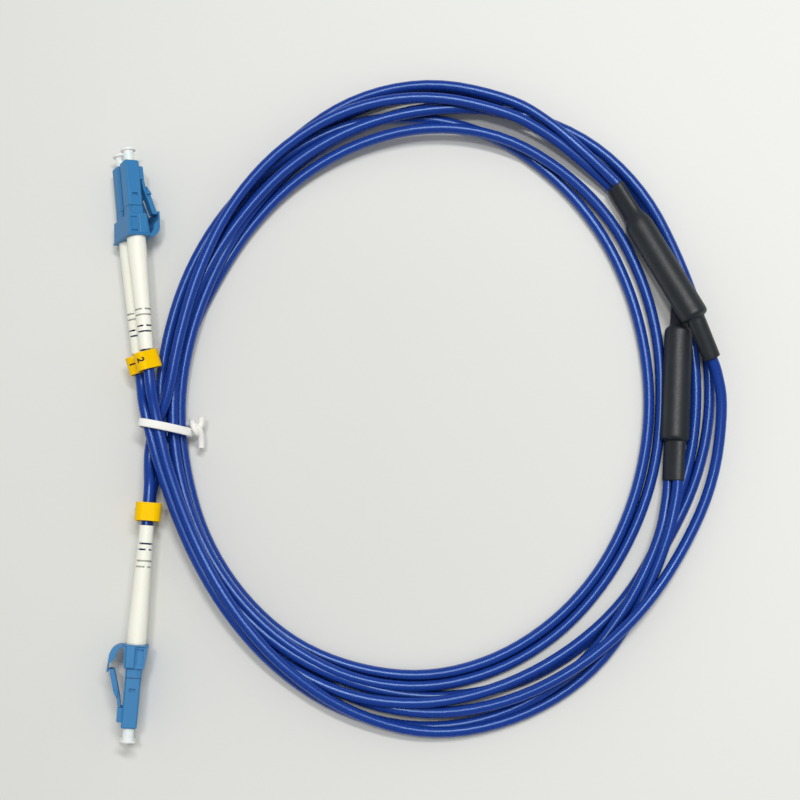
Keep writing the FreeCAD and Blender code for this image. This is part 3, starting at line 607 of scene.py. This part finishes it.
def pick_only(*objects):
    """Select these objects alone, the first of them active."""
    bpy.ops.object.select_all(action="DESELECT")
    for obj in objects:
        obj.select_set(True)
    bpy.context.view_layer.objects.active = objects[0]


def apply_modifiers(obj):
    bpy.context.view_layer.objects.active = obj
    for modifier in list(obj.modifiers):
        bpy.ops.object.modifier_apply(modifier=modifier.name)


def apply_place():
    """Put the place, turn and size of the selected objects into their meshes."""
    bpy.ops.object.transform_apply(location=True, rotation=True, scale=True)


def matrix_from(x_axis, y_axis, z_axis, place):
    """A turn by its three axes, and a place in metres."""
    return Matrix.Translation(place) @ Matrix((x_axis, y_axis, z_axis)).transposed().to_4x4()


def turn_faces_out():
    """In edit mode, make all normals of the mesh point outward, then leave edit mode."""
    bpy.ops.mesh.select_all(action="SELECT")
    bpy.ops.mesh.normals_make_consistent(inside=False)
    bpy.ops.object.mode_set(mode="OBJECT")


def nurbs_path(name, places, resolution, radius=1.0, cyclic=False, flat=False):
    """A curve of one smooth spline with these control points, in metres."""
    bpy.ops.object.select_all(action="DESELECT")
    bpy.ops.curve.primitive_nurbs_path_add()
    obj = bpy.context.object
    obj.name = obj.data.name = name
    curve = obj.data
    curve.splines.clear()
    curve.dimensions = "2D" if flat else "3D"
    spline = curve.splines.new("NURBS")
    spline.points.add(len(places) - 1)
    for control, place in zip(spline.points, places):
        control.co = (*place, 1)
        control.radius = radius
    spline.order_u = 3
    spline.use_cyclic_u = cyclic
    spline.use_endpoint_u = not cyclic
    spline.use_smooth = True
    spline.resolution_u = curve.resolution_u = resolution
    curve.bevel_resolution = ROUND_RESOLUTION
    curve.use_fill_caps = not cyclic
    return obj


def cord_curve(name, places, diameter, material):
    """A round cord along these places of the sketch."""
    obj = nurbs_path(name, [point(place) for place in places], CORD_RESOLUTION, radius=diameter / 2)
    obj.data.bevel_depth = 1.0
    paint(obj, material)
    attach(obj, ROOT)
    return obj


class PATCHCORD_OT_lay_trunk(bpy.types.Operator):
    """Wind the trunk from the upper sleeve, five times round, into the lower sleeve"""

    bl_idname = "patchcord.lay_trunk"
    bl_label = "Lay the trunk"

    def execute(self, context):
        settings = context.scene.patch_cord
        start = run_of(BREAKOUTS["a"], "trunk")
        end = run_of(BREAKOUTS["b"], "trunk")
        thick = settings.diameter / MM
        coil = [on_lane(TURN_STEP * step, radius, layer, thick)
                for radii, layers in zip(CORD_TURNS, CORD_LAYERS)
                for step, (radius, layer) in enumerate(zip(radii, layers))]
        places = start + coil + end[::-1]
        trunk = cord_curve("trunk", places, settings.diameter, jacket_finish(settings))
        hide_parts("cord_coil", "trunk_end_a", "trunk_end_b")
        return {"FINISHED"}


class PATCHCORD_OT_lay_legs(bpy.types.Operator):
    """Lead the two legs of each end from their plugs, through the tie, to the far sleeve"""

    bl_idname = "patchcord.lay_legs"
    bl_label = "Lay the legs"

    def execute(self, context):
        settings = context.scene.patch_cord
        material = bpy.data.materials["blue_jacket"]
        thick = settings.diameter / MM
        for end, far, length in LEG_ROUTES:
            for number, side in LEG_SIDES:
                name = f"{end}{number}"
                end_number = sum(PLUG_NUMBERS) - number
                begin = [on_plug(end, number, 0, back, 0) for back in LEG_STRAIGHT]
                middle = [on_lane(*lane, thick) for lane in LEG_LANES[name]]
                mouth = leg_run(BREAKOUTS[far], side, thick)[::-1]
                places = begin + middle + mouth
                leg = cord_curve(f"leg_cord_{name}", places, settings.diameter, material)
                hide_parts(f"leg_{name}", f"leg_end_{far}{end_number}")
        return {"FINISHED"}


def section_ring(centre, way, across, half_across, half_up):
    """One loop of a sleeve: a circle, stretched and turned into its place."""
    bpy.ops.object.select_all(action="DESELECT")
    bpy.ops.mesh.primitive_circle_add(vertices=SLEEVE_SIDES, radius=1)
    ring = bpy.context.object
    side = (across - way * across.dot(way)).normalized()
    up = way.cross(side)
    ring.matrix_world = matrix_from(side * half_across * MM, up * half_up * MM, way, point(centre))
    apply_place()
    return ring


def half_sleeve(breakout, kind, other, widen):
    """Loops from one mouth to the middle of a sleeve; a neck of two legs is wider by widen."""
    end, mouth = Vector(breakout[kind + "_end"]), Vector(breakout[kind + "_mouth"])
    inward = -neck_way(breakout, kind)
    body = (Vector(breakout[other + "_end"]) - end).normalized()
    neck = SLEEVE_NECK[kind]
    rings = [(mouth.lerp(end, share), inward, neck + widen, neck) for share in NECK_STEPS]
    for offset, share in SHOULDERS[breakout[kind + "_shoulder"]]:
        way = (inward if offset < 0 else body + inward * max(0.0, NECK_BEND - offset)).normalized()
        wide, high = (half + (SLEEVE_BODY - half) * share for half in (neck + widen, neck))
        rings.append((end + way * offset, way, wide, high))
    return rings


def shrunk_sleeve(name, breakout, diameter, material):
    """A sleeve through loops from the leg mouth to the trunk mouth."""
    across = legs_across(breakout)
    loops = half_sleeve(breakout, "leg", "trunk", diameter / 2 * LEG_SPREAD)
    far = half_sleeve(breakout, "trunk", "leg", 0.0)
    loops += [(centre, -way, wide, high) for centre, way, wide, high in reversed(far)]
    rings = [section_ring(centre, way, across, wide, high) for centre, way, wide, high in loops]
    pick_only(*rings)
    bpy.ops.object.join()
    sleeve = bpy.context.object
    sleeve.name = sleeve.data.name = name
    bpy.ops.object.mode_set(mode="EDIT")
    bpy.ops.mesh.select_all(action="SELECT")
    bpy.ops.mesh.bridge_edge_loops()
    turn_faces_out()
    wall = sleeve.modifiers.new("wall", "SOLIDIFY")
    wall.thickness = SLEEVE_WALL * MM
    wall.offset = -1
    skin = sleeve.modifiers.new("skin", "SUBSURF")
    skin.levels = skin.render_levels = SLEEVE_SUBDIVISION
    apply_modifiers(sleeve)
    bpy.ops.object.shade_smooth()
    paint(sleeve, material)
    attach(sleeve, ROOT)
    return sleeve


class PATCHCORD_OT_finish_sleeves(bpy.types.Operator):
    """Shrink a black sleeve over each breakout, and finish the tubes in them"""

    bl_idname = "patchcord.finish_sleeves"
    bl_label = "Finish the sleeves"

    def execute(self, context):
        black = sleeve_finish(context.scene.patch_sleeve)
        diameter = context.scene.patch_cord.diameter / MM
        for end, breakout in BREAKOUTS.items():
            sleeve = shrunk_sleeve(f"shrunk_sleeve_{end}", breakout, diameter, black)
            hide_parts(f"shrink_sleeve_{end}")
        paint_nodes(metal_finish("plain_steel", (0.6, 0.6, 0.6), 0.3), "breakout_tube")
        return {"FINISHED"}


class PATCHCORD_OT_finish_plugs(bpy.types.Operator):
    """Give housings, clips, boots, caps and inner pieces their finish"""

    bl_idname = "patchcord.finish_plugs"
    bl_label = "Finish the plugs"

    def execute(self, context):
        settings = context.scene.patch_plug
        paint_nodes(plug_finish(settings), "latch", "duplex_clip", "clip_trigger")
        for end in ENDS:
            paint_nodes(plug_finish(settings, end), f"plug_housing_{end}", f"rear_body_{end}")
        paint_nodes(boot_finish(settings), "boot")
        paint_nodes(cap_finish(settings), "dust_cap")
        paint_nodes(ceramic_finish(), "ferrule")
        paint_nodes(metal_finish("crimp_metal", (0.72, 0.72, 0.73), 0.25), "crimp_ring")
        return {"FINISHED"}


def coil_spring():
    """A round wire wound along Z from the origin, closed at its two ends."""
    bpy.ops.object.select_all(action="DESELECT")
    bpy.ops.mesh.primitive_circle_add(vertices=SPRING_SIDES, radius=SPRING_WIRE / 2 * MM,
                                      location=(SPRING_RADIUS * MM, 0, 0), rotation=(math.pi / 2, 0, 0))
    spring = bpy.context.object
    apply_place()
    wind = spring.modifiers.new("wind", "SCREW")
    wind.screw_offset = (SPRING_BACK - SPRING_FRONT) / SPRING_TURNS * MM
    wind.iterations = SPRING_TURNS
    wind.steps = wind.render_steps = SPRING_STEPS
    apply_modifiers(spring)
    bpy.ops.object.mode_set(mode="EDIT")
    bpy.ops.mesh.select_all(action="SELECT")
    bpy.ops.mesh.fill_holes(sides=0)
    turn_faces_out()
    bpy.ops.object.shade_smooth_by_angle(angle=SMOOTH_ANGLE)
    return spring


class PATCHCORD_OT_coil_springs(bpy.types.Operator):
    """Coil the springs that press the ferrules forward"""

    bl_idname = "patchcord.coil_springs"
    bl_label = "Coil the springs"

    def execute(self, context):
        steel = bpy.data.materials["plain_steel"]
        first = coil_spring()
        for end in ENDS:
            turn, _ = end_frame(end)
            for number in PLUG_NUMBERS:
                pick_only(first)
                bpy.ops.object.duplicate()
                spring = context.object
                spring.name = spring.data.name = f"coiled_spring_{end}{number}"
                front = point(on_plug(end, number, 0, SPRING_FRONT, 0))
                spring.matrix_world = matrix_from(turn.col[0], turn.col[2], -turn.col[1], front)
                apply_place()
                paint(spring, steel)
                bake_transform(spring)
                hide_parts(f"spring_{end}{number}")
        pick_only(first)
        bpy.ops.object.delete()
        return {"FINISHED"}


def text_mesh(name, body):
    """Bold flat text, made into a mesh."""
    bpy.ops.object.select_all(action="DESELECT")
    bpy.ops.object.text_add()
    text = bpy.context.object.data
    text.body = body
    text.size = FIGURE_HEIGHT * TEXT_SIZE_PER_HEIGHT * MM
    text.offset = FIGURE_STROKE * MM
    text.align_x = text.align_y = "CENTER"
    text.fill_mode = "FRONT"
    bpy.ops.object.convert(target="MESH")
    obj = bpy.context.object
    obj.name = obj.data.name = name
    return obj


def ring_figure(end, number, material):
    """A printed figure, wrapped on the rounded side of its ring."""
    figure = text_mesh(f"ring_figure_{end}{number}", str(number))
    turn, _ = end_frame(end)
    sine, cosine = math.sin(FIGURE_TURN), math.cos(FIGURE_TURN)
    out = Vector((FIGURE_SIDE[end] * cosine, 0, -sine))
    tall = Vector((FIGURE_SIDE[end] * sine, 0, cosine))
    away = RING_HALF + FIGURE_DROP
    place = on_plug(end, number, out.x * away, RING_BACK, out.z * away - RING_RUN)
    askew = turn @ Matrix.Rotation(FIGURE_SKEW[end], 3, "X")
    z_axis, y_axis = askew @ out, askew @ tall
    figure.matrix_world = matrix_from(y_axis.cross(z_axis), y_axis, z_axis, point(place))
    bpy.ops.object.mode_set(mode="EDIT")
    bpy.ops.mesh.select_all(action="SELECT")
    bpy.ops.mesh.subdivide(number_cuts=FIGURE_CUTS)
    bpy.ops.object.mode_set(mode="OBJECT")
    wrap = figure.modifiers.new("wrap", "SHRINKWRAP")
    wrap.target = nodes[f"marker_ring_{end}{number}"]
    wrap.wrap_method = "PROJECT"
    wrap.use_project_z = True
    wrap.use_negative_direction = True
    wrap.use_positive_direction = False
    wrap.offset = INK_LIFT * MM
    apply_modifiers(figure)
    apply_place()
    paint(figure, material)
    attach(figure, ROOT)


class PATCHCORD_OT_number_rings(bpy.types.Operator):
    """Give the yellow rings their finish and print 1 and 2 on them"""

    bl_idname = "patchcord.number_rings"
    bl_label = "Number the rings"

    def execute(self, context):
        paint_nodes(ring_finish(context.scene.patch_plug), "marker_ring")
        ink = ink_finish()
        for end in ENDS:
            for number in PLUG_NUMBERS:
                ring_figure(end, number, ink)
        return {"FINISHED"}


def tie_band(width):
    """The flat strip round the bundle, with rounded edges."""
    edge = width * TIE_EDGE_SHARE
    loop = [(along * MM, up * MM, 0) for along, up in TIE_LOOP]
    curve = nurbs_path("tie_band", loop, TIE_RESOLUTION, cyclic=True, flat=True).data
    curve.fill_mode = "NONE"
    curve.extrude = width / 2 - edge
    curve.bevel_depth = edge
    bpy.ops.object.convert(target="MESH")
    band = bpy.context.object
    heading = Vector((math.cos(TIE_HEADING), math.sin(TIE_HEADING), 0))
    up = Vector((0, 0, 1))
    band.matrix_world = matrix_from(heading, up, heading.cross(up), point(TIE_CENTRE))
    apply_place()
    return band


def tie_tail(tail, thickness):
    """One of the round strands twisted together beside the bundle."""
    places = [point(from_pixel(Vector((x, y)), height)) for x, y, height in tail]
    curve = nurbs_path("tie_tail", places, TIE_RESOLUTION).data
    curve.fill_mode = "FULL"
    curve.bevel_depth = thickness / 2
    bpy.ops.object.convert(target="MESH")
    return bpy.context.object


class PATCHCORD_OT_twist_tie(bpy.types.Operator):
    """Bend a flat tie round the bundle and twist its tails together"""

    bl_idname = "patchcord.twist_tie"
    bl_label = "Twist the tie"

    def execute(self, context):
        settings = context.scene.patch_tie
        pieces = [tie_band(settings.width)]
        for tail in TIE_TAILS:
            pieces.append(tie_tail(tail, settings.tail))
        pick_only(*pieces)
        bpy.ops.object.join()
        tie = context.object
        tie.name = tie.data.name = "bent_tie"
        bpy.ops.object.shade_smooth_by_angle(angle=SMOOTH_ANGLE)
        paint(tie, tie_finish(settings))
        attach(tie, ROOT)
        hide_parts("twist_tie")
        return {"FINISHED"}


def lay_table(settings, middle):
    """A round table under the coil."""
    bpy.ops.object.select_all(action="DESELECT")
    bpy.ops.mesh.primitive_circle_add(vertices=TABLE_SIDES, radius=TABLE_RADIUS, fill_type="NGON",
                                      location=(middle.x, middle.y, TABLE_TOP))
    table = bpy.context.object
    table.name = "table"
    apply_place()
    paint(table, table_finish(settings))


def hang_lamps(settings, middle):
    """Soft lamps over the table, turned to its middle."""
    for name, offset, size, watts in LAMPS:
        bpy.ops.object.light_add(type="AREA", location=middle + Vector(offset))
        lamp = bpy.context.object
        lamp.name = name
        lamp.data.shape = "RECTANGLE"
        lamp.data.size, lamp.data.size_y = size
        lamp.data.energy = settings.key * watts
        lamp.rotation_euler = (middle - lamp.location).to_track_quat("-Z", "Y").to_euler()


def light_room(settings, scene):
    """An even white room, with a strength of its own as backdrop and in reflections."""
    scene.world = scene.world or bpy.data.worlds.new("room")
    scene.world.use_nodes = True
    room = NodeTree(scene.world.node_tree)
    sky = room.tree.nodes["Background"]
    sky.inputs["Color"].default_value = (1, 1, 1, 1)
    seen = room.node("ShaderNodeLightPath", output="Is Camera Ray")
    mirrored = room.node("ShaderNodeLightPath", output="Is Glossy Ray")
    strength = (settings.fill + seen * (settings.backdrop - settings.fill)
                + mirrored * (settings.gloss - settings.fill))
    room.tree.links.new(strength.socket, sky.inputs["Strength"])


def aim_camera(scene, middle):
    """A camera where the photograph's lens was."""
    back = Vector((0, -math.sin(LENS_TILT), math.cos(LENS_TILT))) * LENS_DISTANCE * MM
    bpy.ops.object.camera_add(location=middle + back, rotation=(LENS_TILT, 0, 0))
    camera = bpy.context.object
    camera.name = "camera"
    camera.data.sensor_width = SENSOR_WIDTH
    camera.data.lens = SENSOR_WIDTH * LENS_DISTANCE / (PHOTO_WIDTH * PIXEL)
    camera.data.clip_start = NEAR_CLIP
    scene.camera = camera


class PATCHCORD_OT_set_stage(bpy.types.Operator):
    """Set the table, the lamps and the camera"""

    bl_idname = "patchcord.set_stage"
    bl_label = "Set the stage"

    def execute(self, context):
        scene = context.scene
        settings = scene.patch_stage
        middle = point(AXIS_PLACE)
        lay_table(settings, middle)
        hang_lamps(settings, middle)
        light_room(settings, scene)
        aim_camera(scene, middle)
        scene.view_settings.view_transform = "Standard"
        return {"FINISHED"}


class PATCHCORD_PT_panel(bpy.types.Panel):
    """Steps that build the patch cord, in order"""

    bl_label = "Patch Cord"
    bl_idname = "PATCHCORD_PT_panel"
    bl_space_type = "VIEW_3D"
    bl_region_type = "UI"
    bl_category = "Patch Cord"

    def draw(self, context):
        for operator in OPERATORS:
            self.layout.operator(operator.bl_idname)
        for name in SETTINGS:
            group = getattr(context.scene, name)
            for key in group.__annotations__:
                self.layout.prop(group, key)


SETTINGS = {
    "patch_cord": CordSettings,
    "patch_plug": PlugSettings,
    "patch_sleeve": SleeveSettings,
    "patch_tie": TieSettings,
    "patch_stage": StageSettings,
}
OPERATORS = (
    PATCHCORD_OT_lay_trunk,
    PATCHCORD_OT_lay_legs,
    PATCHCORD_OT_finish_sleeves,
    PATCHCORD_OT_finish_plugs,
    PATCHCORD_OT_coil_springs,
    PATCHCORD_OT_number_rings,
    PATCHCORD_OT_twist_tie,
    PATCHCORD_OT_set_stage,
)


def register():
    for name, group in SETTINGS.items():
        bpy.utils.register_class(group)
        setattr(bpy.types.Scene, name, PointerProperty(type=group))
    for operator in OPERATORS:
        bpy.utils.register_class(operator)
    bpy.utils.register_class(PATCHCORD_PT_panel)


def unregister():
    bpy.utils.unregister_class(PATCHCORD_PT_panel)
    for operator in reversed(OPERATORS):
        bpy.utils.unregister_class(operator)
    for name, group in SETTINGS.items():
        delattr(bpy.types.Scene, name)
        bpy.utils.unregister_class(group)


def main():
    register()
    bpy.ops.patchcord.lay_trunk()
    bpy.ops.patchcord.lay_legs()
    bpy.ops.patchcord.finish_sleeves()
    bpy.ops.patchcord.finish_plugs()
    bpy.ops.patchcord.coil_springs()
    bpy.ops.patchcord.number_rings()
    bpy.ops.patchcord.twist_tie()
    bpy.ops.patchcord.set_stage()


if __name__ == "__main__":
    main()
